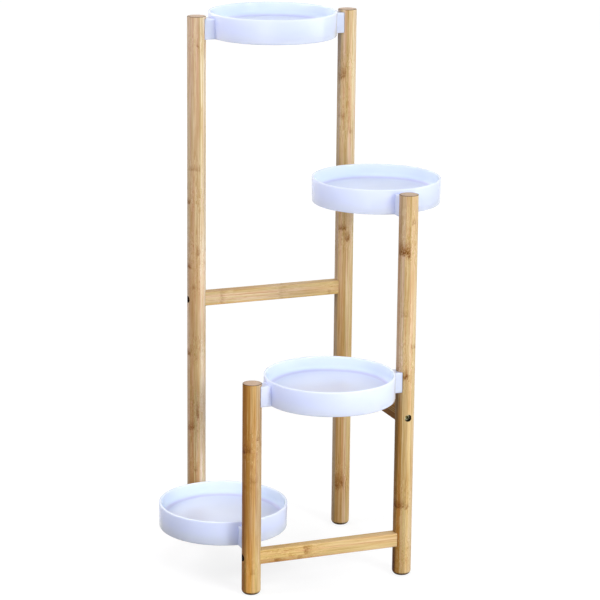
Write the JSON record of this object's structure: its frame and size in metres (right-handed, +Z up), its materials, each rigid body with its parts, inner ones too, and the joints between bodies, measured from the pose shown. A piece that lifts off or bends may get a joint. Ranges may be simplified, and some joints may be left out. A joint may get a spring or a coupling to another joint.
{
  "type": "tiered plant stand",
  "caption": "Spiral plant stand: round bamboo posts of stepped heights, bolted rails, and round lipped trays hung between the posts by side lugs.",
  "frame": {"origin": "on the floor, at the middle of the square of posts", "axes": "+Z up; +X along the back rail from the left tall post to the right tall post; +Y from the front rail to the back rail"},
  "size_m": [0.371, 0.371, 0.702],
  "materials": {
    "bamboo_post": "satin clear lacquer",
    "bamboo_rail": "satin clear lacquer",
    "tray_plastic": "gloss",
    "zinc_steel": "bright zinc plate"
  },
  "bodies": {
    "root": {"post_tall_left": "bamboo_post", "post_tall_right": "bamboo_post", "post_medium_right": "bamboo_post", "post_short_left": "bamboo_post", "tray_top": "tray_plastic", "tray_upper": "tray_plastic", "tray_lower": "tray_plastic", "tray_bottom": "tray_plastic", "rail_back": "bamboo_rail", "rail_right": "bamboo_rail", "rail_front": "bamboo_rail", "bolt_back_tall_left": "zinc_steel", "bolt_back_tall_right": "zinc_steel", "bolt_right_medium_right": "zinc_steel", "bolt_right_tall_right": "zinc_steel", "bolt_front_short_left": "zinc_steel", "bolt_front_medium_right": "zinc_steel", "barrel_nut_back_tall_left": "zinc_steel", "barrel_nut_back_tall_right": "zinc_steel", "barrel_nut_right_medium_right": "zinc_steel", "barrel_nut_right_tall_right": "zinc_steel", "barrel_nut_front_short_left": "zinc_steel", "barrel_nut_front_medium_right": "zinc_steel"}
  },
  "joints": []
}
